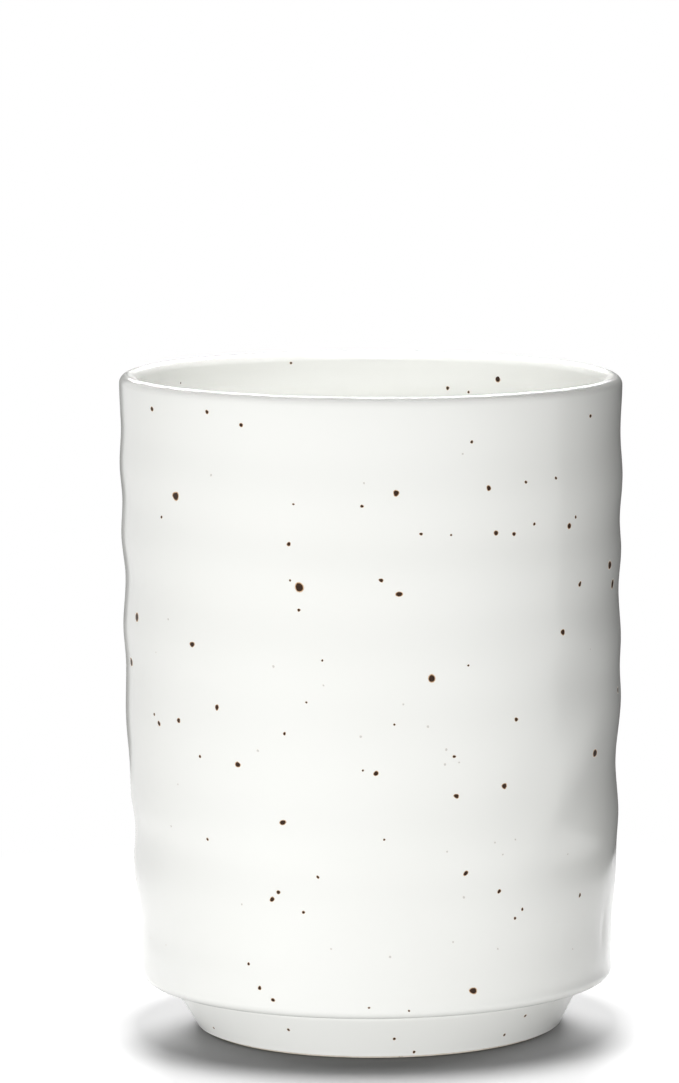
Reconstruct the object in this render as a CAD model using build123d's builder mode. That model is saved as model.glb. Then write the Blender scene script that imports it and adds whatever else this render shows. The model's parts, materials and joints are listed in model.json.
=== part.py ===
"""Thrown stoneware cup that keeps spoons: a clay body on a turned foot ring, and its glaze coats.

Millimetres, +Z up. The origin is the middle of the face that the cup stands on. Every piece is
turned about Z, so each one is a half section in the XZ plane, revolved. The glaze coats lie
against the clay, and a depth is always measured from the finished, glazed surface.
"""

import os
from math import asin, atan2, degrees, dist

from build123d import *

# Overall sizes, measured over the glaze
cup_height = 99.5
rim_radius = 38.0
base_radius = 36.1
lip_thickness = 2.8
lower_edge_round = 1.5

# Inside of the cup, measured over the glaze
wall_thickness = 3.6
floor_thickness = 4.6
inside_corner_round = 7.0

# Foot, measured over the glaze: each radius steps in from the one outside or above it
foot_height = 7.5
ledge_width = 2.6
foot_taper = 4.4
foot_wall = 4.8
recess_draft = 0.8
foot_edge_bevel = 0.3

# Glaze coat, and the clay it leaves bare above the bevelled edge of the foot
glaze_thickness = 0.4
bare_band = 0.1

# Throwing rings: height above the underside of the body, and swell of the wall from its even taper
throwing_rings = [
    (7.0, -0.15),
    (18.5, 0.27),
    (28.0, 0.28),
    (33.0, 0.17),
    (41.0, 0.60),
    (48.5, 0.33),
    (52.5, 0.46),
    (60.0, 0.00),
    (65.5, 0.28),
    (71.0, 0.08),
    (77.0, 0.22),
    (83.5, -0.16),
]
plain_band = 3.0  # wall without rings, next to the lip and next to the lower edge

# Radii of the foot
foot_top_radius = base_radius - lower_edge_round - ledge_width
foot_bottom_radius = foot_top_radius - foot_taper
recess_bottom_radius = foot_bottom_radius - foot_wall
recess_top_radius = recess_bottom_radius - recess_draft

# Places that several outlines share
lip_round = lip_thickness / 2
wall_top = cup_height - lip_round
wall_bottom = foot_height + lower_edge_round
floor_top = foot_height + floor_thickness
clay_underside = foot_height + glaze_thickness
glaze_stop = foot_edge_bevel + bare_band
lip_middle = (rim_radius - lip_round, wall_top)
edge_middle = (base_radius - lower_edge_round, wall_bottom)
corner_middle = (
    base_radius - wall_thickness - inside_corner_round,
    floor_top + inside_corner_round,
)

# The inside of the wall is straight, and touches the round lip and the round corner without a kink
sideways = lip_middle[0] - corner_middle[0]
upwards = lip_middle[1] - corner_middle[1]
crossing = asin((lip_round + inside_corner_round) / dist(lip_middle, corner_middle))
inside_lean = degrees(atan2(sideways, upwards) - crossing)


def taper_radius(height):
    """Radius of the even taper from the lower edge to the lip."""
    share = (height - wall_bottom) / (wall_top - wall_bottom)
    return base_radius + share * (rim_radius - base_radius)


def outer_wall(depth):
    """Waved line up the outside of the wall."""
    points = [(base_radius - depth, wall_bottom)]
    for rise, swell in throwing_rings:
        height = foot_height + rise
        if wall_bottom + plain_band < height < wall_top - plain_band:
            points.append((taper_radius(height) + swell - depth, height))
    points.append((rim_radius - depth, wall_top))
    return Spline(*points, tangents=((0, 1), (0, 1)))


def lower_edge(depth):
    """Rounded lower edge of the body, from the underside to the wall."""
    return CenterArc(edge_middle, lower_edge_round - depth, -90, 90)


def lip_outside(depth):
    """Outer half of the round lip, from the wall to the crest."""
    return CenterArc(lip_middle, lip_round - depth, 0, 90)


def inside(depth):
    """Line from the crest of the lip down the inside of the wall and round the corner."""
    lip_inside = CenterArc(lip_middle, lip_round - depth, 90, 90 - inside_lean)
    corner = CenterArc(
        corner_middle, inside_corner_round + depth, -inside_lean, inside_lean - 90
    )
    return lip_inside, Line(lip_inside @ 1, corner @ 0), corner


def foot_radius(height):
    """Outside radius of the tapered foot."""
    share = height / foot_height
    return foot_bottom_radius + share * (foot_top_radius - foot_bottom_radius)


def recess_radius(height):
    """Radius of the hollow inside the foot."""
    share = height / foot_height
    return recess_bottom_radius + share * (recess_top_radius - recess_bottom_radius)


# Clay body: wall and floor in one piece
with BuildPart() as cup_body:
    with BuildSketch(Plane.XZ):
        with BuildLine():
            Line((0, clay_underside), (edge_middle[0], clay_underside))
            lower_edge(glaze_thickness)
            outer_wall(glaze_thickness)
            lip_outside(glaze_thickness)
            inside(glaze_thickness)
            Polyline(
                (corner_middle[0], floor_top - glaze_thickness),
                (0, floor_top - glaze_thickness),
                (0, clay_underside),
            )
        make_face()
    revolve(axis=Axis.Z)

# Foot ring: its flat top is luted to the underside of the body, its bottom face stays bare
with BuildPart() as foot_ring:
    with BuildSketch(Plane.XZ):
        with BuildLine():
            Polyline(
                (recess_radius(0) + glaze_thickness, 0),
                (foot_radius(0) - glaze_thickness, 0),
                (foot_top_radius - glaze_thickness, foot_height),
                (foot_top_radius - glaze_thickness, clay_underside),
                (recess_top_radius + glaze_thickness, clay_underside),
                (recess_top_radius + glaze_thickness, foot_height),
                close=True,
            )
        section = make_face()
        chamfer(section.vertices().group_by(Axis.Y)[0], foot_edge_bevel)
    revolve(axis=Axis.Z)

# Glaze outside: from the crest of the lip down the wall and under the step to the foot
with BuildPart() as outer_glaze:
    with BuildSketch(Plane.XZ):
        with BuildLine():
            lower_edge(0)
            outer_wall(0)
            lip_outside(0)
            Line((lip_middle[0], cup_height), (lip_middle[0], cup_height - glaze_thickness))
            lip_outside(glaze_thickness)
            outer_wall(glaze_thickness)
            lower_edge(glaze_thickness)
            Polyline(
                (edge_middle[0], clay_underside),
                (foot_top_radius - glaze_thickness, clay_underside),
                (foot_top_radius - glaze_thickness, foot_height),
                (edge_middle[0], foot_height),
            )
        make_face()
    revolve(axis=Axis.Z)

# Glaze inside: from the crest of the lip down the wall and across the floor
with BuildPart() as liner_glaze:
    with BuildSketch(Plane.XZ):
        with BuildLine():
            Line((lip_middle[0], cup_height - glaze_thickness), (lip_middle[0], cup_height))
            inside(0)
            Polyline(
                (corner_middle[0], floor_top),
                (0, floor_top),
                (0, floor_top - glaze_thickness),
                (corner_middle[0], floor_top - glaze_thickness),
            )
            inside(glaze_thickness)
        make_face()
    revolve(axis=Axis.Z)

# Glaze on the outside of the foot
with BuildPart() as foot_glaze:
    with BuildSketch(Plane.XZ):
        with BuildLine():
            Polyline(
                (foot_radius(glaze_stop) - glaze_thickness, glaze_stop),
                (foot_radius(glaze_stop), glaze_stop),
                (foot_top_radius, foot_height),
                (foot_top_radius - glaze_thickness, foot_height),
                close=True,
            )
        make_face()
    revolve(axis=Axis.Z)

# Glaze in the recess under the floor
with BuildPart() as recess_glaze:
    with BuildSketch(Plane.XZ):
        with BuildLine():
            Polyline(
                (0, clay_underside),
                (recess_top_radius + glaze_thickness, clay_underside),
                (recess_top_radius + glaze_thickness, foot_height),
                (recess_radius(glaze_stop) + glaze_thickness, glaze_stop),
                (recess_radius(glaze_stop), glaze_stop),
                (recess_top_radius, foot_height),
                (0, foot_height),
                close=True,
            )
        make_face()
    revolve(axis=Axis.Z)

cup_body.part.label = "cup_body"
foot_ring.part.label = "foot_ring"
outer_glaze.part.label = "outer_glaze"
liner_glaze.part.label = "liner_glaze"
foot_glaze.part.label = "foot_glaze"
recess_glaze.part.label = "recess_glaze"

os.makedirs("parts", exist_ok=True)
export_step(cup_body.part, "parts/cup_body.step")
export_step(foot_ring.part, "parts/foot_ring.step")
export_step(outer_glaze.part, "parts/outer_glaze.step")
export_step(liner_glaze.part, "parts/liner_glaze.step")
export_step(foot_glaze.part, "parts/foot_glaze.step")
export_step(recess_glaze.part, "parts/recess_glaze.step")
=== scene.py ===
"""Looks of the thrown, speckled stoneware cup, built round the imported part.

Lengths are in millimetres until a point is placed, then metres; +Z is up and -Y faces the camera.
An angle goes round the cup from the front, 0, to the right, 90 degrees.
"""

import json
import random
from math import asin, atan2, cos, dist, exp, pi, radians, sin, sqrt, tan

import bpy
from mathutils import Matrix, Vector, noise

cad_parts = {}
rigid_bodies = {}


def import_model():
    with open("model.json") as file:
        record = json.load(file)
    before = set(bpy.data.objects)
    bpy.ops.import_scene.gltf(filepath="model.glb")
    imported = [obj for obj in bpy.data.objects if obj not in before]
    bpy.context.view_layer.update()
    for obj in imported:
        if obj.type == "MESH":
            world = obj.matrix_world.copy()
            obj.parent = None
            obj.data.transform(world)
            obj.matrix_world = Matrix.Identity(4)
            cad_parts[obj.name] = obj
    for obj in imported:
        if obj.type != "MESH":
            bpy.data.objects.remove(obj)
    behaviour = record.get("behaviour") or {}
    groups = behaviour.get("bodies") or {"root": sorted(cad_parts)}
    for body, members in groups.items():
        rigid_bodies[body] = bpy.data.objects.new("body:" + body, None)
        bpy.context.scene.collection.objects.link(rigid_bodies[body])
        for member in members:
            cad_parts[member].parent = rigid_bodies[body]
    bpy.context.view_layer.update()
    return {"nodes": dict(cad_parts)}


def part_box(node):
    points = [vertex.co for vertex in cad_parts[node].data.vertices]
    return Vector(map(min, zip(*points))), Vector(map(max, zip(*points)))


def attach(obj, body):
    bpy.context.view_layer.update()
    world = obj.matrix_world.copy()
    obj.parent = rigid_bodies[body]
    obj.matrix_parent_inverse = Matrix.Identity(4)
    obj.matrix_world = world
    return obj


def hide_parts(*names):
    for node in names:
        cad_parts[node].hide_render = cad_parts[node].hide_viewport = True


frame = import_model()

MM = 0.001
SEED = 417

# Sizes read from the frame
outer_low, outer_high = (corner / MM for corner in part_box("outer_glaze"))
liner_low, _ = (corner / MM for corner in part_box("liner_glaze"))
foot_low, foot_high = (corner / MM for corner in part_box("foot_glaze"))
_, ring_high = (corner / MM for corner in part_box("foot_ring"))
recess_low, _ = (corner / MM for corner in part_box("recess_glaze"))
cup_height = outer_high.z
rim_radius = outer_high.x
foot_height = outer_low.z
foot_top_radius = foot_high.x
glaze = ring_high.z - foot_height
floor_top = liner_low.z + glaze
glaze_stop = foot_low.z
recess_stop = recess_low.z

# Sizes that the frame's boxes don't give
base_radius = 36.1
lip_thickness = 2.8
edge_round = 1.5
wall_thickness = 3.6
corner_round = 7.0
foot_bottom_radius = 27.6
recess_bottom_radius = 22.8
recess_top_radius = 22.0
foot_bevel = 0.3
glaze_pool = 0.9          # fillet of glaze in the corner between the foot and the step
recess_pool = 1.2         # fillet of glaze in the corner of the hollow under the floor
glaze_bead = 0.15         # rounded edge where the glaze on the foot stops
recess_bead = (0.12, 0.2)  # width and height of the same edge in the hollow

# Fineness of the turned meshes: points round the axis, and spacing along the outlines
TURNS = 360
WALL_STEP = 0.6
INSIDE_STEP = 1.2
FLOOR_STEP = 0.8
FOOT_STEP = 0.5
HIDDEN_STEP = 3.0
CEILING_STEP = 1.5

# Throwing rings: height and swell from the even taper at the left side, then at the right side
throwing_rings = [
    (12.5, 0.08, 12.5, -0.22),
    (16.5, -0.13, 15.0, -0.13),
    (25.5, 0.27, 24.5, 0.36),
    (30.7, -0.07, 27.5, 0.39),
    (36.8, 0.46, 32.3, 0.58),
    (40.0, 0.43, 40.6, -0.01),
    (47.6, 0.73, 49.8, 0.61),
    (56.2, 0.41, 55.2, 0.34),
    (61.2, 0.64, 58.8, 0.43),
    (69.3, 0.07, 66.8, -0.04),
    (75.4, 0.50, 72.6, 0.28),
    (81.2, 0.12, 77.4, -0.02),
    (86.0, 0.32, 83.4, 0.28),
    (92.3, -0.08, 91.0, -0.17),
]
edge_swell = (0.10, -0.42)  # swell next to the lower edge, at the left side and at the right side
ring_wander = 0.9         # how far a ring strays up or down at the front and the back
rim_tilt = 0.4            # the rim is this much higher at the left and lower at the right
rim_waver = 0.10
plain_end = 1.0           # wall next to the lip that no ring reaches
slow_swell = 0.07         # slow unevenness of the whole wall
line_swell = 0.012        # faint lines that fingers leave round the wall
inner_line_swell = 0.16   # finger lines inside, and their pitch
inner_line_pitch = 8.5
inner_ring_share = 0.3    # share of the throwing rings that shows inside
spiral_height = 0.16      # spiral in the floor, and its pitch
spiral_pitch = 6.5
foot_drift = 0.5          # the foot was trimmed this much to the right of the rim
drift_end = 20.0          # height at which the drift has faded out
foot_narrowing = 0.18     # the trimmed foot is this much narrower just under the step
foot_waver = 0.10

# Finger marks: angle, height, half length, half width, slope of the length in degrees, and depth,
# where + is outward
finger_marks = [
    (54, 62.5, 10.0, 3.2, -4, 0.22),
    (57, 56.5, 8.0, 4.2, 0, -0.30),
    (52, 40.5, 12.0, 3.6, 46, 0.26),
    (43, 45.0, 12.0, 4.0, 46, -0.12),
    (49, 30.5, 7.0, 5.0, 25, -0.30),
    (74, 27.0, 6.0, 3.0, 40, 0.22),
    (71, 16.2, 0.9, 2.6, 0, -0.16),
    (-67, 61.0, 7.0, 6.0, 0, -0.15),
    (-70, 28.5, 5.0, 5.0, 0, -0.18),
    (-25, 70.0, 16.0, 5.0, 4, 0.06),
    (10, 35.0, 18.0, 5.0, -3, 0.07),
    (118, 66.0, 9.0, 4.0, 12, -0.28),
    (141, 38.0, 11.0, 4.5, -18, 0.22),
    (163, 79.0, 12.0, 4.0, 6, -0.16),
    (186, 25.0, 9.0, 6.0, 20, -0.25),
    (208, 57.0, 12.0, 4.0, -10, 0.22),
    (236, 42.0, 8.0, 5.0, 35, -0.22),
    (251, 84.0, 10.0, 4.0, -5, 0.14),
]
MARK_REACH = 30           # a mark is felt no farther than this from its middle

# Camera, fitted to the outline in the photograph
IMAGE_WIDTH, IMAGE_HEIGHT = 679, 1083
SENSOR = 36.0
camera_place = Vector((-4.94, -858.46, 181.24))
camera_pitch = radians(7.123)
camera_roll = radians(-0.539)
focal_pixels = 5706.1

# Specks seen in the photograph, by diameter in mm: column and row of each one's middle
seen_specks = {
    1.15: [(300, 587), (612, 584), (134, 662), (139, 617), (593, 753), (177, 496), (608, 565)],
    0.95: [(431, 678), (473, 991)],
    0.75: [(396, 493), (569, 526), (195, 644), (240, 764), (399, 594), (561, 632), (504, 786),
           (284, 822), (614, 690)],
    0.64: [(488, 488), (496, 533), (219, 707), (376, 773), (456, 796), (163, 723), (152, 409),
           (579, 584), (465, 873), (273, 899), (182, 720)],
    0.52: [(207, 412), (591, 416), (241, 425), (289, 544), (381, 580), (514, 719), (279, 892),
           (259, 988), (514, 534), (498, 891), (578, 895), (272, 1000)],
    0.40: [(472, 442), (555, 478), (525, 482), (362, 506), (575, 517), (286, 733), (453, 756),
           (209, 839), (318, 877), (304, 912), (203, 756), (162, 517), (534, 524), (421, 534),
           (299, 610), (521, 909), (514, 918), (248, 964), (158, 714)],
    0.28: [(294, 504), (451, 535), (291, 580), (323, 660), (394, 724), (384, 839), (368, 1008),
           (408, 1011), (467, 665), (307, 702), (363, 770)],
}

# Specks that the glaze nearly covers
faint_specks = {
    0.34: [(275, 666), (361, 736), (260, 750), (150, 938), (173, 826), (390, 957), (463, 897),
           (444, 764), (170, 619), (212, 475), (427, 726), (445, 749)],
    0.26: [(446, 851), (463, 454), (573, 949), (567, 854), (498, 949), (588, 649), (493, 842),
           (513, 839), (501, 854), (159, 652), (324, 685), (364, 483), (180, 784),
           (243, 904), (165, 945), (331, 949), (403, 704), (458, 762), (453, 942)],
}
foot_specks = {0.38: [(211, 1028), (286, 1030), (524, 1016), (502, 1035), (392, 1039), (411, 1052)]}
inside_specks = {
    0.85: [(498, 379)],
    0.50: [(448, 388)],
    0.36: [(469, 392), (291, 363)],
}
FAINT_STRENGTH = 0.3      # how far a nearly covered speck shows through the glaze

# Places that several outlines share
lip_round = lip_thickness / 2
wall_top = cup_height - lip_round
wall_bottom = foot_height + edge_round
lip_middle = (rim_radius - lip_round, wall_top)
edge_middle = (base_radius - edge_round, wall_bottom)
corner_middle = (base_radius - wall_thickness - corner_round, floor_top + corner_round)
inside_lean = atan2(
    lip_middle[0] - corner_middle[0], lip_middle[1] - corner_middle[1]
) - asin((lip_round + corner_round) / dist(lip_middle, corner_middle))


def smooth(low, high, value):
    """Eased step from 0 at low to 1 at high."""
    t = min(1.0, max(0.0, (value - low) / (high - low)))
    return t * t * (3 - 2 * t)


def mix(a, b, share):
    return a + share * (b - a)


# Surface of the cup

def taper_radius(height):
    """Radius of the even taper from the lower edge to the lip."""
    return mix(base_radius, rim_radius, (height - wall_bottom) / (wall_top - wall_bottom))


def inside_radius(height):
    """Radius of the straight inside of the wall."""
    return lip_middle[0] - lip_round * cos(inside_lean) - (wall_top - height) * tan(inside_lean)


def ring_swell(angle, height):
    """Swell of the throwing rings, each of which climbs or sinks a little on its way round."""
    share = (1 + sin(angle)) / 2
    wander = ring_wander * noise.noise(Vector((1.3 * sin(angle), 1.3 * cos(angle), height / 40)))
    places = [(wall_bottom, mix(*edge_swell, share))]
    for left_height, left_swell, right_height, right_swell in throwing_rings:
        places.append((mix(left_height, right_height, share), mix(left_swell, right_swell, share)))
    places.append((wall_top - plain_end, 0.0))
    height += wander * cos(angle) ** 2
    for (low, low_swell), (high, high_swell) in zip(places, places[1:]):
        if height < high:
            return mix(low_swell, high_swell, smooth(low, high, height))
    return 0.0


def mark_swell(angle, height):
    """Swell of the finger marks near a place on the wall."""
    total = 0.0
    for mark_angle, mark_height, length, width, slope, depth in finger_marks:
        turn = (angle - radians(mark_angle) + pi) % (2 * pi) - pi
        across = turn * base_radius
        up = height - mark_height
        if abs(across) > MARK_REACH or abs(up) > MARK_REACH:
            continue
        lean = radians(slope)
        along = across * cos(lean) + up * sin(lean)
        beside = up * cos(lean) - across * sin(lean)
        total += depth * exp(-((along / length) ** 2) - (beside / width) ** 2)
    return total


def fine_swell(angle, height, layer):
    """Slow unevenness of a hand-thrown wall, and the faint lines that fingers leave round it."""
    round_about = Vector((sin(angle), cos(angle), 0))
    slow = noise.noise(round_about * 2.2 + Vector((0, 0, height / 22 + layer)))
    lines = noise.noise(round_about * 0.7 + Vector((3, 5, height / 1.9 + layer)))
    return slow_swell * slow + line_swell * lines


def outer_swell(angle, height):
    """How far the outside of the wall stands out from its even taper."""
    lower_fade = smooth(foot_height, wall_bottom + 1.5, height)
    upper_fade = 1 - smooth(wall_top - 3, cup_height, height)
    whole = ring_swell(angle, height) + mark_swell(angle, height) + fine_swell(angle, height, 0)
    return lower_fade * upper_fade * whole


def inner_swell(angle, height):
    """How far the inside of the wall is pushed outward."""
    lower_fade = smooth(floor_top + 2, floor_top + 16, height)
    upper_fade = 1 - smooth(wall_top - 6, cup_height, height)
    turn = 2 * pi * height / inner_line_pitch + angle + 1.5 * sin(angle / 2) ** 2
    lines = inner_line_swell * sin(turn)
    rings = inner_ring_share * ring_swell(angle, height)
    return lower_fade * upper_fade * (lines + rings + fine_swell(angle, height, 40))


def foot_swell(angle, radius, height):
    """Unevenness of the trimmed foot on its outside, fading out along the step."""
    outside = smooth(recess_bottom_radius, foot_bottom_radius - 1, radius)
    share = outside * (1 - smooth(foot_top_radius, edge_middle[0] - 0.3, radius))
    waver = foot_waver * noise.noise(Vector((2.5 * sin(angle), 2.5 * cos(angle), height / 9 + 60)))
    return share * (waver - foot_narrowing * smooth(0, foot_height, height))


def floor_rise(angle, radius):
    """Low spiral that the fingers leave in the floor."""
    fade = smooth(1.5, 6, radius) * (1 - smooth(16, 27, radius))
    return spiral_height * fade * cos(2 * pi * radius / spiral_pitch - angle)


def rim_rise(angle, height):
    """Tilt of the rim, with its slight waver."""
    waver = rim_waver * noise.noise(Vector((2 * sin(angle), 2 * cos(angle), 7.7)))
    return smooth(wall_bottom, cup_height, height) * (waver - rim_tilt * sin(angle))


def cup_point(angle, radius, height):
    """Point in metres at an angle, radius and height about the axis, which drifts at the foot."""
    drift = foot_drift * (1 - min(1, height / drift_end)) ** 2
    return Vector((radius * sin(angle) + drift, -radius * cos(angle), height)) * MM


def place(angle, radius, height):
    """Point in metres of a turned outline's point, carried along by the unevenness of the wall."""
    z = height + rim_rise(angle, height)
    if height <= foot_height + glaze and radius < edge_middle[0]:
        swell = foot_swell(angle, radius, height)
    elif height < corner_middle[1] and radius < inside_radius(corner_middle[1]) - 0.5:
        swell = 0.0
        if height > foot_height + 2 * glaze:
            z += floor_rise(angle, radius)
    else:
        inner = inside_radius(height)
        share = smooth(inner + 0.6, taper_radius(height) - 0.6, radius)
        swell = mix(inner_swell(angle, z), outer_swell(angle, z), share)
    return cup_point(angle, radius + swell, z)


# Outlines: lists of (radius, height) at a depth under the glazed surface

def arc(middle, radius, start, end, steps):
    """Points of a circular arc, angles in radians."""
    turns = [mix(start, end, i / steps) for i in range(steps + 1)]
    return [(middle[0] + radius * cos(t), middle[1] + radius * sin(t)) for t in turns]


def straight(start, end, step):
    """Points between two ends, without the ends themselves."""
    count = max(1, round(dist(start, end) / step))
    shares = [i / count for i in range(1, count)]
    return [(mix(start[0], end[0], s), mix(start[1], end[1], s)) for s in shares]


def outside_line(depth):
    """From the flat of the step round the lower edge, up the wall and over to the lip's crest."""
    lower = arc(edge_middle, edge_round - depth, -pi / 2, 0, 12)
    wall = straight((base_radius - depth, wall_bottom), (rim_radius - depth, wall_top), WALL_STEP)
    upper = arc(lip_middle, lip_round - depth, 0, pi / 2, 14)
    return lower + wall + upper


def inside_line(depth):
    """From the lip's crest down the inside of the wall, round the corner and over the floor."""
    upper = arc(lip_middle, lip_round - depth, pi / 2, pi - inside_lean, 14)
    corner = arc(corner_middle, corner_round + depth, -inside_lean, -pi / 2, 20)
    wall = straight(upper[-1], corner[0], INSIDE_STEP)
    floor = straight(corner[-1], (0, floor_top - depth), FLOOR_STEP)
    return upper + wall + corner + floor + [(0, floor_top - depth)]


def foot_radius(height):
    return mix(foot_bottom_radius, foot_top_radius, height / foot_height)


def recess_radius(height):
    return mix(recess_bottom_radius, recess_top_radius, height / foot_height)


def outer_glaze_outline():
    clay_top = foot_height + glaze
    inner_edge = foot_top_radius - glaze
    ledge = straight((inner_edge, foot_height), (edge_middle[0], foot_height), WALL_STEP)
    hidden = straight((edge_middle[0], clay_top), (inner_edge, clay_top), WALL_STEP)
    return (
        [(inner_edge, foot_height)] + ledge + outside_line(0)
        + outside_line(glaze)[::-1] + hidden + [(inner_edge, clay_top)]
    )


def liner_glaze_outline():
    return inside_line(0) + inside_line(glaze)[::-1]


def cup_body_outline():
    under = foot_height + glaze
    bottom = [(0, under)] + straight((0, under), (edge_middle[0], under), HIDDEN_STEP)
    return bottom + outside_line(glaze) + inside_line(glaze)[1:]


def foot_glaze_outline():
    """Coat on the foot: a rounded bead at its lower edge, and a pool of glaze under the step."""
    clay = [(foot_radius(h) - glaze, h) for h in (glaze_stop + glaze_bead, foot_height / 2)]
    top = [(foot_top_radius - glaze, foot_height), (foot_top_radius + glaze_pool, foot_height)]
    pool_middle = (foot_radius(foot_height - glaze_pool) + glaze_pool, foot_height - glaze_pool)
    pool = arc(pool_middle, glaze_pool, pi / 2, pi, 8)[1:]
    side_top = pool[-1]
    side_end = (foot_radius(glaze_stop + glaze_bead), glaze_stop + glaze_bead)
    side = straight(side_top, side_end, FOOT_STEP)
    bead_middle = (side_end[0] - glaze_bead, side_end[1])
    bead = arc(bead_middle, glaze_bead, 0, -pi / 2, 5)
    return clay + top + pool + side + bead + [(foot_radius(glaze_stop) - glaze, glaze_stop)]


def recess_glaze_outline():
    """Coat in the hollow under the floor, pooled in its corner."""
    under = foot_height + glaze
    top = [(0, under), (recess_top_radius + glaze, under), (recess_top_radius + glaze, foot_height)]
    wall_foot = recess_radius(recess_stop)
    corner = (recess_top_radius - recess_pool, foot_height - recess_pool)
    pool = arc(corner, recess_pool, 0, pi / 2, 8)
    bead_top = (wall_foot, recess_stop + recess_bead[1])
    side = straight(bead_top, pool[0], FLOOR_STEP)
    ceiling = straight(pool[-1], (0, foot_height), CEILING_STEP)
    edge = [(wall_foot + glaze, recess_stop), (wall_foot + recess_bead[0], recess_stop), bead_top]
    return top + edge + side + pool + ceiling + [(0, foot_height)]


def foot_ring_outline():
    """Clay ring, wiped clean and softly bevelled where the cup stands on it."""
    under = foot_height + glaze
    outside = foot_radius(0) - glaze
    inside = recess_radius(0) + glaze
    outer_bevel = arc((outside - foot_bevel, foot_bevel), foot_bevel, 0, -pi / 2, 6)
    inner_bevel = arc((inside + foot_bevel, foot_bevel), foot_bevel, -pi / 2, -pi, 6)
    face = straight(outer_bevel[-1], inner_bevel[0], FOOT_STEP)
    top = [
        (recess_top_radius + glaze, foot_height), (recess_top_radius + glaze, under),
        (foot_top_radius - glaze, under), (foot_top_radius - glaze, foot_height),
    ]
    return top + outer_bevel + face + inner_bevel


# Meshes

def mesh_piece(name, points, faces, crease_degrees):
    """Object from points in metres, smooth apart from its sharp corners."""
    mesh = bpy.data.meshes.new(name)
    mesh.from_pydata(points, [], faces)
    mesh.validate()
    mesh.update()
    mesh.shade_smooth()
    mesh.set_sharp_from_angle(angle=radians(crease_degrees))
    piece = bpy.data.objects.new(name, mesh)
    bpy.context.scene.collection.objects.link(piece)
    return piece


def turned(name, outline, crease_degrees=40):
    """Closed mesh turned about Z from a closed outline, given anticlockwise as (radius, height)."""
    points = []
    rows = []
    for radius, height in outline:
        if radius < 1e-6:
            rows.append([len(points)] * TURNS)
            points.append(place(0, 0, height))
            continue
        rows.append(list(range(len(points), len(points) + TURNS)))
        points += [place(2 * pi * i / TURNS, radius, height) for i in range(TURNS)]
    faces = []
    for row, following in zip(rows, rows[1:] + rows[:1]):
        if row[0] == row[1] and following[0] == following[1]:
            continue
        for i in range(TURNS):
            j = (i + 1) % TURNS
            corners = [row[i], row[j], following[j], following[i]]
            faces.append(list(dict.fromkeys(corners)))
    return mesh_piece(name, points, faces, crease_degrees)


def faces_outward(piece):
    """True where a closed mesh has its faces turned outward."""
    volume = 0.0
    mesh = piece.data
    mesh.calc_loop_triangles()
    for triangle in mesh.loop_triangles:
        a, b, c = (mesh.vertices[i].co for i in triangle.vertices)
        volume += a.dot(b.cross(c))
    return volume > 0


def turn_outward(piece):
    if not faces_outward(piece):
        piece.data.flip_normals()


# Specks

def camera_ray(column, row):
    """Start and direction, in mm, of the camera's ray through a pixel of the photograph."""
    across = (column - IMAGE_WIDTH / 2) / focal_pixels
    down = (row - IMAGE_HEIGHT / 2) / focal_pixels
    x = cos(camera_roll) * across + sin(camera_roll) * down
    y = cos(camera_roll) * down - sin(camera_roll) * across
    ahead = Vector((0, cos(camera_pitch), -sin(camera_pitch)))
    below = Vector((0, -sin(camera_pitch), -cos(camera_pitch)))
    return camera_place, ahead + x * Vector((1, 0, 0)) + y * below


def on_surface(column, row, radius_at, side=-1):
    """Angle and height where a pixel's ray meets a turned surface: side -1 in front, 1 behind."""
    start, ray = camera_ray(column, row)
    height = cup_height / 2
    for _ in range(12):
        a = ray.x ** 2 + ray.y ** 2
        b = start.x * ray.x + start.y * ray.y
        c = start.x ** 2 + start.y ** 2 - radius_at(height) ** 2
        reach = (-b + side * sqrt(max(0.0, b * b - a * c))) / a
        hit = start + reach * ray
        height = hit.z
    return atan2(hit.x, -hit.y), height


def outer_point(angle, height, lift):
    """Point in metres on the outside of the wall, lifted off it by lift in mm."""
    z = height + rim_rise(angle, height)
    return cup_point(angle, taper_radius(height) + outer_swell(angle, z) + lift, z)


def inner_point(angle, height, lift):
    """Point in metres on the inside of the wall."""
    z = height + rim_rise(angle, height)
    return cup_point(angle, inside_radius(height) + inner_swell(angle, z) - lift, z)


def foot_point(angle, height, lift):
    """Point in metres on the outside of the foot."""
    r = foot_radius(height)
    return cup_point(angle, r + foot_swell(angle, r, height) + lift, height)


SPECK_SIDES = 14
SPECK_REACH = 1.65        # how far the coloured halo goes, in radii of the dark core
SPECK_RINGS = (0.35, 0.6, 0.8, 1.0, 1.3, SPECK_REACH)
SPECK_LIFT = 0.014        # height of its middle above the glaze
SPECK_SKIRT = 0.25        # share of that height by which the halo's edge dips under the glaze
SPECK_SINK = 0.06         # depth of its closed underside
SPECK_STRETCH = 0.12
SPECK_WOBBLE = 0.10
SEED_STRIDE = 7919        # keeps the seeds of specks at neighbouring angles apart


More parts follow.
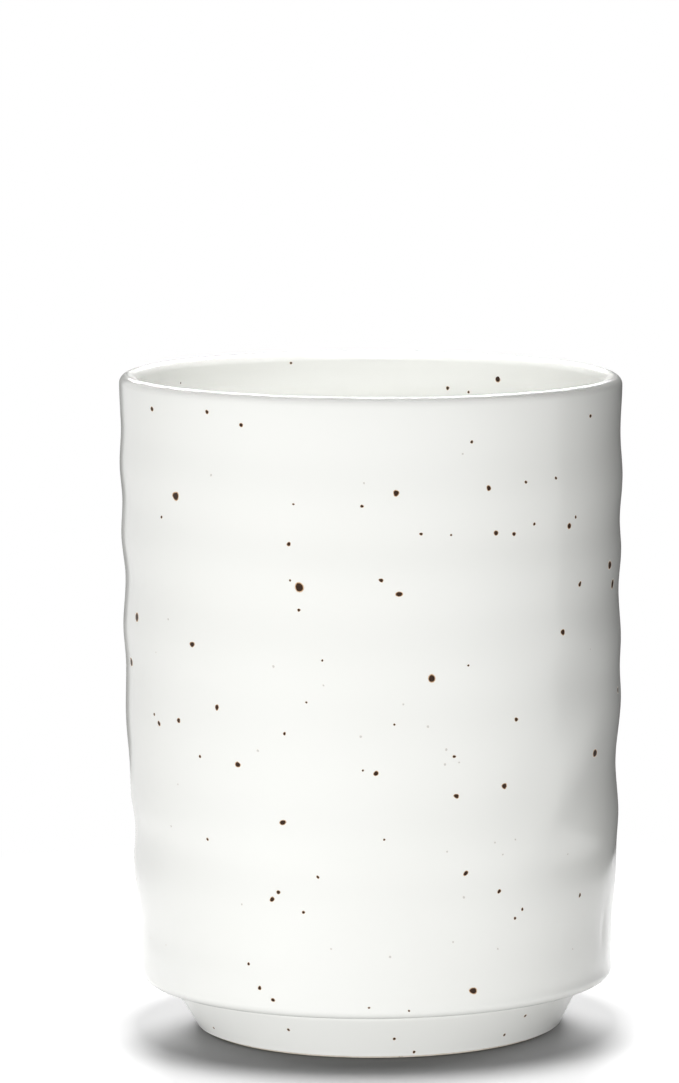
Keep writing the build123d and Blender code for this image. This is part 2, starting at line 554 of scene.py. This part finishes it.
def add_speck(store, angle, height, diameter, point_at, arm, strength):
    """Low lens of melted iron: a dark core, and a halo that fades into the glaze."""
    points, faces, tones = store
    start = len(points)
    rng = random.Random(round(1000 * angle) * SEED_STRIDE + round(100 * height))
    radius = diameter / 2
    stretch = 1 + rng.uniform(0, SPECK_STRETCH)
    spin = rng.uniform(0, pi)
    wobble = [rng.uniform(-SPECK_WOBBLE, SPECK_WOBBLE) for _ in range(4)]

    def at(ring, turn, lift):
        oval = wobble[0] * cos(2 * turn + 9 * wobble[1])
        bump = 1 + oval + wobble[2] * cos(3 * turn + 9 * wobble[3])
        along = ring * radius * bump * cos(turn) * stretch
        beside = ring * radius * bump * sin(turn) / stretch
        across = along * cos(spin) - beside * sin(spin)
        up = along * sin(spin) + beside * cos(spin)
        return point_at(angle + across / arm, height + up, lift)

    points.append(at(0, 0, SPECK_LIFT))
    tones.append((0.0, strength))
    for ring in SPECK_RINGS:
        dome = 1 - (ring / SPECK_REACH) ** 2
        lift = SPECK_LIFT * (dome * (1 + SPECK_SKIRT) - SPECK_SKIRT)
        for side in range(SPECK_SIDES):
            points.append(at(ring, 2 * pi * side / SPECK_SIDES, lift))
            tones.append((ring, strength))
    points.append(at(0, 0, -SPECK_SINK))
    tones.append((0.0, strength))
    bottom = len(points) - 1
    for side in range(SPECK_SIDES):
        following = (side + 1) % SPECK_SIDES
        faces.append((start, start + 1 + side, start + 1 + following))
        for ring in range(len(SPECK_RINGS) - 1):
            inner = start + 1 + ring * SPECK_SIDES
            outer = inner + SPECK_SIDES
            faces.append((inner + side, outer + side, outer + following, inner + following))
        last = start + 1 + (len(SPECK_RINGS) - 1) * SPECK_SIDES
        faces.append((last + side, bottom, last + following))


SMALLEST_SPECK, LARGEST_SPECK = 0.24, 1.3
CLEAR_SHARE = 0.72        # share of the scattered specks that the glaze doesn't cover
COVERED_STRENGTH = (0.2, 0.5)


def scattered_diameter(rng):
    """Diameter of a speck: many small ones and few large ones."""
    spread = 0.13 * rng.expovariate(1.0) + 0.12 * rng.random()
    return min(LARGEST_SPECK, SMALLEST_SPECK + spread)


def scatter(store, rng, count, angles, heights, point_at, arm):
    """Specks at seeded places between two angles and two heights."""
    for _ in range(count):
        angle = radians(rng.uniform(*angles))
        height = rng.uniform(*heights)
        strength = 1.0 if rng.random() < CLEAR_SHARE else rng.uniform(*COVERED_STRENGTH)
        add_speck(store, angle, height, scattered_diameter(rng), point_at, arm, strength)


def place_seen(store, groups, radius_at, point_at, arm, strength, side=-1):
    """Specks where the photograph shows them."""
    for diameter, pixels in groups.items():
        for column, row in pixels:
            angle, z = on_surface(column, row, radius_at, side)
            height = z - rim_rise(angle, z)
            add_speck(store, angle, height, diameter, point_at, arm, strength)


def finish_specks(name, store, material):
    points, faces, tones = store
    piece = mesh_piece(name, points, faces, 80)
    for label, index in (("ring", 0), ("strength", 1)):
        layer = piece.data.attributes.new(label, "FLOAT", "POINT")
        layer.data.foreach_set("value", [tone[index] for tone in tones])
    turn_outward(piece)
    dress(piece, material)


# Materials

GLAZE_COLOR = (0.905, 0.910, 0.880, 1)
GLAZE_SHADE = (0.893, 0.897, 0.864, 1)
GLAZE_ROUGHNESS = (0.15, 0.22)
IRON_DARK = (0.008, 0.005, 0.004, 1)
IRON_BROWN = (0.060, 0.028, 0.014, 1)
RUST_HALO = (0.58, 0.34, 0.16, 1)
CLAY_LIGHT = (0.80, 0.755, 0.67, 1)
CLAY_DARK = (0.68, 0.62, 0.52, 1)
CLAY_DOT = (0.16, 0.09, 0.05, 1)


class NodeTree:
    """Small helper that adds and joins the nodes of a material or of the world."""

    def __init__(self, owner):
        owner.use_nodes = True
        self.tree = owner.node_tree

    def add(self, kind, **values):
        node = self.tree.nodes.new(kind)
        for key, value in values.items():
            setattr(node, key, value)
        return node

    def join(self, source, target):
        self.tree.links.new(source, target)


class SurfaceNodes(NodeTree):
    """Nodes of one of the cup's materials, which feed its one shader."""

    def __init__(self, name):
        self.material = bpy.data.materials.new(name)
        super().__init__(self.material)
        self.shader = self.tree.nodes["Principled BSDF"]

    def noise(self, scale, detail=2.0, roughness=0.5, stretch=(1, 1, 1)):
        """Noise in the piece's own coordinates, in metres."""
        place_node = self.add("ShaderNodeTexCoord")
        mapping = self.add("ShaderNodeMapping")
        mapping.inputs["Scale"].default_value = stretch
        texture = self.add("ShaderNodeTexNoise")
        texture.inputs["Scale"].default_value = scale
        texture.inputs["Detail"].default_value = detail
        texture.inputs["Roughness"].default_value = roughness
        self.join(place_node.outputs["Object"], mapping.inputs["Vector"])
        self.join(mapping.outputs["Vector"], texture.inputs["Vector"])
        return texture.outputs["Fac"]

    def span(self, value, low, high, to_low, to_high, interpolation="LINEAR"):
        node = self.add("ShaderNodeMapRange", interpolation_type=interpolation)
        for label, number in (
            ("From Min", low), ("From Max", high), ("To Min", to_low), ("To Max", to_high)
        ):
            node.inputs[label].default_value = number
        self.join(value, node.inputs["Value"])
        return node.outputs["Result"]

    def blend(self, share, first, second):
        """Mix of two colours, each a plain colour or another node's output."""
        node = self.add("ShaderNodeMix", data_type="RGBA")
        self.join(share, node.inputs["Factor"])
        for socket, colour in ((node.inputs[6], first), (node.inputs[7], second)):
            if isinstance(colour, tuple):
                socket.default_value = colour
            else:
                self.join(colour, socket)
        return node.outputs[2]

    def bump(self, height, strength, distance, under=None):
        node = self.add("ShaderNodeBump")
        node.inputs["Strength"].default_value = strength
        node.inputs["Distance"].default_value = distance
        self.join(height, node.inputs["Height"])
        if under:
            self.join(under, node.inputs["Normal"])
        return node.outputs["Normal"]


def glaze_colour(nodes):
    """Milky white that thins to a slightly greyer tone in slow clouds."""
    clouds = nodes.span(nodes.noise(28.0, detail=1.5), 0.3, 0.75, 0.0, 1.0, "SMOOTHSTEP")
    return nodes.blend(clouds, GLAZE_COLOR, GLAZE_SHADE)


def glaze_surface(nodes):
    """Satin glaze: uneven gloss, a soft orange-peel skin, and fine lines round the cup."""
    gloss = nodes.noise(160.0, detail=3.0)
    nodes.join(nodes.span(gloss, 0.3, 0.7, *GLAZE_ROUGHNESS), nodes.shader.inputs["Roughness"])
    peel = nodes.noise(520.0, detail=2.0)
    skin = nodes.bump(peel, 0.05, 0.00003)
    rounds = nodes.noise(60.0, detail=2.0, stretch=(0.3, 0.3, 9.0))
    nodes.join(nodes.bump(rounds, 0.05, 0.00006, skin), nodes.shader.inputs["Normal"])
    nodes.shader.inputs["IOR"].default_value = 1.5
    nodes.shader.inputs["Specular IOR Level"].default_value = 0.4


def glaze_material():
    nodes = SurfaceNodes("satin_white_glaze")
    nodes.join(glaze_colour(nodes), nodes.shader.inputs["Base Color"])
    glaze_surface(nodes)
    return nodes.material


def speck_material():
    """Iron spot: nearly black where it is thick, brown at its rim, then a fading rust halo."""
    nodes = SurfaceNodes("iron_speck_glaze")
    ring = nodes.add("ShaderNodeAttribute", attribute_name="ring").outputs["Fac"]
    strength = nodes.add("ShaderNodeAttribute", attribute_name="strength").outputs["Fac"]
    edge = nodes.noise(5200.0, detail=2.0)
    ragged = nodes.add("ShaderNodeMath", operation="MULTIPLY_ADD")
    nodes.join(edge, ragged.inputs[0])
    ragged.inputs[1].default_value = 0.3
    nodes.join(ring, ragged.inputs[2])
    reach = ragged.outputs["Value"]
    core = nodes.blend(nodes.noise(2600.0, detail=2.0), IRON_DARK, IRON_BROWN)
    inner = nodes.blend(nodes.span(reach, 1.08, 1.24, 0.0, 1.0, "SMOOTHSTEP"), core, RUST_HALO)
    outside = nodes.span(reach, 1.16, 1.60, 0.0, 1.0, "SMOOTHSTEP")
    spot = nodes.blend(outside, inner, glaze_colour(nodes))
    nodes.join(nodes.blend(strength, glaze_colour(nodes), spot), nodes.shader.inputs["Base Color"])
    nodes.shader.inputs["Roughness"].default_value = 0.42
    nodes.shader.inputs["IOR"].default_value = 1.5
    nodes.shader.inputs["Specular IOR Level"].default_value = 0.2
    return nodes.material


def clay_material():
    """Bare fired stoneware: sandy, warm off-white, with grog and fine iron dots."""
    nodes = SurfaceNodes("bare_stoneware")
    sand = nodes.noise(900.0, detail=4.0, roughness=0.6)
    tone = nodes.blend(nodes.span(sand, 0.35, 0.65, 0.0, 1.0), CLAY_LIGHT, CLAY_DARK)
    dots = nodes.span(nodes.noise(2400.0, detail=1.0), 0.70, 0.74, 0.0, 1.0)
    nodes.join(nodes.blend(dots, tone, CLAY_DOT), nodes.shader.inputs["Base Color"])
    nodes.shader.inputs["Roughness"].default_value = 0.88
    nodes.join(nodes.bump(sand, 0.5, 0.00012), nodes.shader.inputs["Normal"])
    return nodes.material


def dress(piece, material):
    """Gives a piece its material and the body that it rides on."""
    piece.data.materials.clear()
    piece.data.materials.append(material)
    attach(piece, "root")


# The pieces of the cup
glaze_mat = glaze_material()
clay_mat = clay_material()
speck_mat = speck_material()

coats = [
    ("thrown_body", "cup_body", cup_body_outline(), clay_mat, "clay"),
    ("thrown_foot_ring", "foot_ring", foot_ring_outline(), clay_mat, "clay"),
    ("outer_glaze_coat", "outer_glaze", outer_glaze_outline(), glaze_mat, "glaze"),
    ("liner_glaze_coat", "liner_glaze", liner_glaze_outline(), glaze_mat, "glaze"),
    ("foot_glaze_coat", "foot_glaze", foot_glaze_outline(), glaze_mat, "glaze"),
    ("recess_glaze_coat", "recess_glaze", recess_glaze_outline(), glaze_mat, "glaze"),
]
for name, node, outline, material, slot in coats:
    coat = turned(name, outline)
    turn_outward(coat)
    dress(coat, material)
    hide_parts(node)
    # The solid under it wears the same material
    frame["nodes"][node].data.materials.clear()
    frame["nodes"][node].data.materials.append(material)

# Specks where the photograph shows none: how many, between which angles in degrees and heights
back_scatter = (130, (82, 278), (wall_bottom + 1, wall_top - 1))
foot_scatter = (14, (75, 285), (1.5, 6.0))
inside_scatter = (130, (0, 360), (corner_middle[1] + 1, 80))
upper_inside_scatter = (22, (70, 290), (80, wall_top - 1))

rng = random.Random(SEED)
outer_store = ([], [], [])
place_seen(outer_store, seen_specks, taper_radius, outer_point, base_radius, 1.0)
place_seen(outer_store, faint_specks, taper_radius, outer_point, base_radius, FAINT_STRENGTH)
place_seen(outer_store, foot_specks, foot_radius, foot_point, foot_bottom_radius, 1.0)
scatter(outer_store, rng, *back_scatter, outer_point, base_radius)
scatter(outer_store, rng, *foot_scatter, foot_point, foot_bottom_radius)
finish_specks("outer_iron_specks", outer_store, speck_mat)

inner_store = ([], [], [])
place_seen(inner_store, inside_specks, inside_radius, inner_point, base_radius, 1.0, side=1)
scatter(inner_store, rng, *inside_scatter, inner_point, base_radius)
scatter(inner_store, rng, *upper_inside_scatter, inner_point, base_radius)
finish_specks("inner_iron_specks", inner_store, speck_mat)


# Studio: floor, soft lights and world

WORLD_FILL = 0.03         # light that the world gives to matte surfaces, where 1 is white
FLOOR_HALF = 12.0         # half the floor's width in metres
FLOOR_NEAR = 0.075        # metres from the cup's axis where the floor starts to turn plain white
FLOOR_FAR = 0.16
FLOOR_SEEN = 0.22         # tone of the lit floor to the camera
FLOOR_BOUNCE = 0.052      # tone of the floor to every other ray

# Softboxes: name, angle, elevation, distance and size in metres, level, what they light, and
# whether the glaze mirrors them. A level of 1 lights a facing white surface to white. The floor
# doesn't block them, so the front one may hang lower than the floor.
softboxes = [
    ("side_softbox", -90, 0, 1.00, 0.60, 0.33, "cup", False),
    ("front_softbox", -10, -15, 1.00, 0.60, 0.745, "cup", False),
    ("high_softbox", -10, 40, 1.00, 0.50, 0.125, "cup", False),
    ("right_softbox", 45, 0, 1.00, 0.60, 0.145, "cup", False),
    ("back_softbox", 180, 35, 1.00, 0.60, 0.90, "cup", True),
    ("top_softbox", 0, 88, 0.70, 0.60, 0.26, "cup", True),
    ("mouth_softbox", 0, 60, 0.90, 0.50, 0.80, "inside", True),
    ("floor_top_light", 180, 89, 1.00, 0.12, 3.60, "floor", True),
    ("floor_back_light", 180, 12, 1.00, 0.40, 11.80, "floor", False),
    ("floor_left_light", -90, 45, 1.00, 0.60, 0.57, "floor", False),
    ("floor_right_light", 90, 45, 1.00, 0.60, 0.67, "floor", False),
    ("floor_left_back_light", -130, 20, 1.00, 0.50, 0.70, "floor", False),
    ("floor_right_back_light", 130, 20, 1.00, 0.50, 0.64, "floor", False),
]

# Dark cards behind the cup, only seen in the glaze: name, angle, distance, width, height and the
# gap to the floor, in mm
dark_cards = [
    ("right_card", 132, 125.0, 260.0, 420.0, 3.0),
    ("left_card", -166, 170.0, 120.0, 420.0, 12.0),
]


class StudioNodes(NodeTree):
    """Nodes of the world or of the floor, built up from none."""

    def __init__(self, owner):
        super().__init__(owner)
        self.tree.nodes.clear()

    def math(self, operation, first, second):
        node = self.add("ShaderNodeMath", operation=operation)
        self.join(first, node.inputs[0])
        self.join(second, node.inputs[1])
        return node.outputs["Value"]

    def backdrop_rays(self):
        """1 for the rays that see the white backdrop: from the camera, off gloss, through glass."""
        path = self.add("ShaderNodeLightPath")
        seen = self.math("MAXIMUM", path.outputs["Is Camera Ray"], path.outputs["Is Glossy Ray"])
        return self.math("MAXIMUM", seen, path.outputs["Is Transmission Ray"])


def make_world():
    world = bpy.data.worlds.new("studio")
    bpy.context.scene.world = world
    nodes = StudioNodes(world)
    strength = nodes.add("ShaderNodeMapRange")
    strength.inputs["To Min"].default_value = WORLD_FILL
    strength.inputs["To Max"].default_value = 1.0
    nodes.join(nodes.backdrop_rays(), strength.inputs["Value"])
    background = nodes.add("ShaderNodeBackground")
    background.inputs["Color"].default_value = (1, 1, 1, 1)
    nodes.join(strength.outputs["Result"], background.inputs["Strength"])
    output = nodes.add("ShaderNodeOutputWorld")
    nodes.join(background.outputs["Background"], output.inputs["Surface"])


def stage_mesh(name, corners):
    """One flat sheet that isn't part of the cup."""
    mesh = bpy.data.meshes.new(name)
    mesh.from_pydata(corners, [], [(0, 1, 2, 3)])
    sheet = bpy.data.objects.new(name, mesh)
    bpy.context.scene.collection.objects.link(sheet)
    return sheet


def make_floor():
    """Pale floor: lit and shadowed near the cup, plain white backdrop farther out."""
    corners = [(-FLOOR_HALF, -FLOOR_HALF), (FLOOR_HALF, -FLOOR_HALF)]
    corners += [(FLOOR_HALF, FLOOR_HALF), (-FLOOR_HALF, FLOOR_HALF)]
    floor = stage_mesh("floor", [(x, y, 0) for x, y in corners])
    material = bpy.data.materials.new("pale_floor")
    nodes = StudioNodes(material)
    coordinates = nodes.add("ShaderNodeTexCoord")
    length = nodes.add("ShaderNodeVectorMath", operation="LENGTH")
    nodes.join(coordinates.outputs["Object"], length.inputs[0])
    far = nodes.add("ShaderNodeMapRange", interpolation_type="SMOOTHSTEP")
    far.inputs["From Min"].default_value = FLOOR_NEAR
    far.inputs["From Max"].default_value = FLOOR_FAR
    nodes.join(length.outputs["Value"], far.inputs["Value"])
    backdrop = nodes.backdrop_rays()
    white_share = nodes.math("MULTIPLY", backdrop, far.outputs["Result"])
    tone = nodes.add("ShaderNodeMix", data_type="RGBA")
    tone.inputs[6].default_value = (FLOOR_BOUNCE, FLOOR_BOUNCE, FLOOR_BOUNCE, 1)
    tone.inputs[7].default_value = (FLOOR_SEEN, FLOOR_SEEN, FLOOR_SEEN, 1)
    nodes.join(backdrop, tone.inputs["Factor"])
    diffuse = nodes.add("ShaderNodeBsdfDiffuse")
    nodes.join(tone.outputs[2], diffuse.inputs["Color"])
    emission = nodes.add("ShaderNodeEmission")
    emission.inputs["Strength"].default_value = 1.0
    mixer = nodes.add("ShaderNodeMixShader")
    nodes.join(white_share, mixer.inputs["Fac"])
    nodes.join(diffuse.outputs["BSDF"], mixer.inputs[1])
    nodes.join(emission.outputs["Emission"], mixer.inputs[2])
    output = nodes.add("ShaderNodeOutputMaterial")
    nodes.join(mixer.outputs["Shader"], output.inputs["Surface"])
    floor.data.materials.append(material)
    return floor


def make_card(name, card_angle, distance, width, height, gap, material):
    """Dark card whose reflection darkens one edge of the glaze."""
    angle = radians(card_angle)
    middle = Vector((sin(angle), -cos(angle), 0)) * distance
    across = Vector((cos(angle), sin(angle), 0)) * width / 2
    up = Vector((0, 0, height))
    lift = Vector((0, 0, gap))
    low, high = middle - across + lift, middle + across + lift
    card = stage_mesh(name, [corner * MM for corner in (low, high, high + up, low + up)])
    card.data.materials.append(material)
    card.visible_camera = False
    card.visible_diffuse = False
    card.visible_shadow = False


def card_material():
    material = bpy.data.materials.new("black_card")
    material.use_nodes = True
    shader = material.node_tree.nodes["Principled BSDF"]
    shader.inputs["Base Color"].default_value = (0.02, 0.02, 0.02, 1)
    return material


def make_softbox(name, angle, elevation, distance, size, level, lit, mirrored):
    """Square lamp that faces the cup, lights one kind of piece, and is only blocked by the cup."""
    light = bpy.data.lights.new(name, "AREA")
    light.shape = "SQUARE"
    light.size = size
    light.energy = level * (pi * distance) ** 2
    # Sampled from the surfaces alone, since rays that meet several linked lamps lose light
    light.cycles.use_multiple_importance_sampling = False
    lamp = bpy.data.objects.new(name, light)
    bpy.context.scene.collection.objects.link(lamp)
    flat = cos(radians(elevation))
    across, ahead = sin(radians(angle)), -cos(radians(angle))
    direction = Vector((across * flat, ahead * flat, sin(radians(elevation))))
    lamp.location = Vector((0, 0, cup_height / 2 * MM)) + direction * distance
    lamp.rotation_euler = direction.to_track_quat("Z", "Y").to_euler()
    lamp.light_linking.receiver_collection = receivers[lit]
    lamp.light_linking.blocker_collection = receivers["cup"]
    lamp.visible_glossy = mirrored


def make_camera():
    data = bpy.data.cameras.new("photo_camera")
    data.sensor_fit = "VERTICAL"
    data.sensor_height = SENSOR
    data.lens = focal_pixels / IMAGE_HEIGHT * SENSOR
    data.clip_start = 0.05
    data.clip_end = 60
    camera = bpy.data.objects.new("photo_camera", data)
    bpy.context.scene.collection.objects.link(camera)
    level = Matrix.Rotation(pi / 2 - camera_pitch, 4, "X")
    camera.matrix_world = (
        Matrix.Translation(camera_place * MM) @ level @ Matrix.Rotation(camera_roll, 4, "Z")
    )
    bpy.context.scene.camera = camera


# What each kind of lamp lights: the whole cup, its inside coat alone, or the floor
receivers = {}
for kind in ("cup", "inside", "floor"):
    receivers[kind] = bpy.data.collections.new(kind + "_lit")
for piece in bpy.context.scene.collection.objects:
    if piece.type == "MESH":
        receivers["cup"].objects.link(piece)
for name in ("liner_glaze_coat", "inner_iron_specks"):
    receivers["inside"].objects.link(bpy.data.objects[name])

make_world()
receivers["floor"].objects.link(make_floor())
card_mat = card_material()
for card in dark_cards:
    make_card(*card, card_mat)
for softbox in softboxes:
    make_softbox(*softbox)
make_camera()
bpy.context.scene.view_settings.view_transform = "Standard"
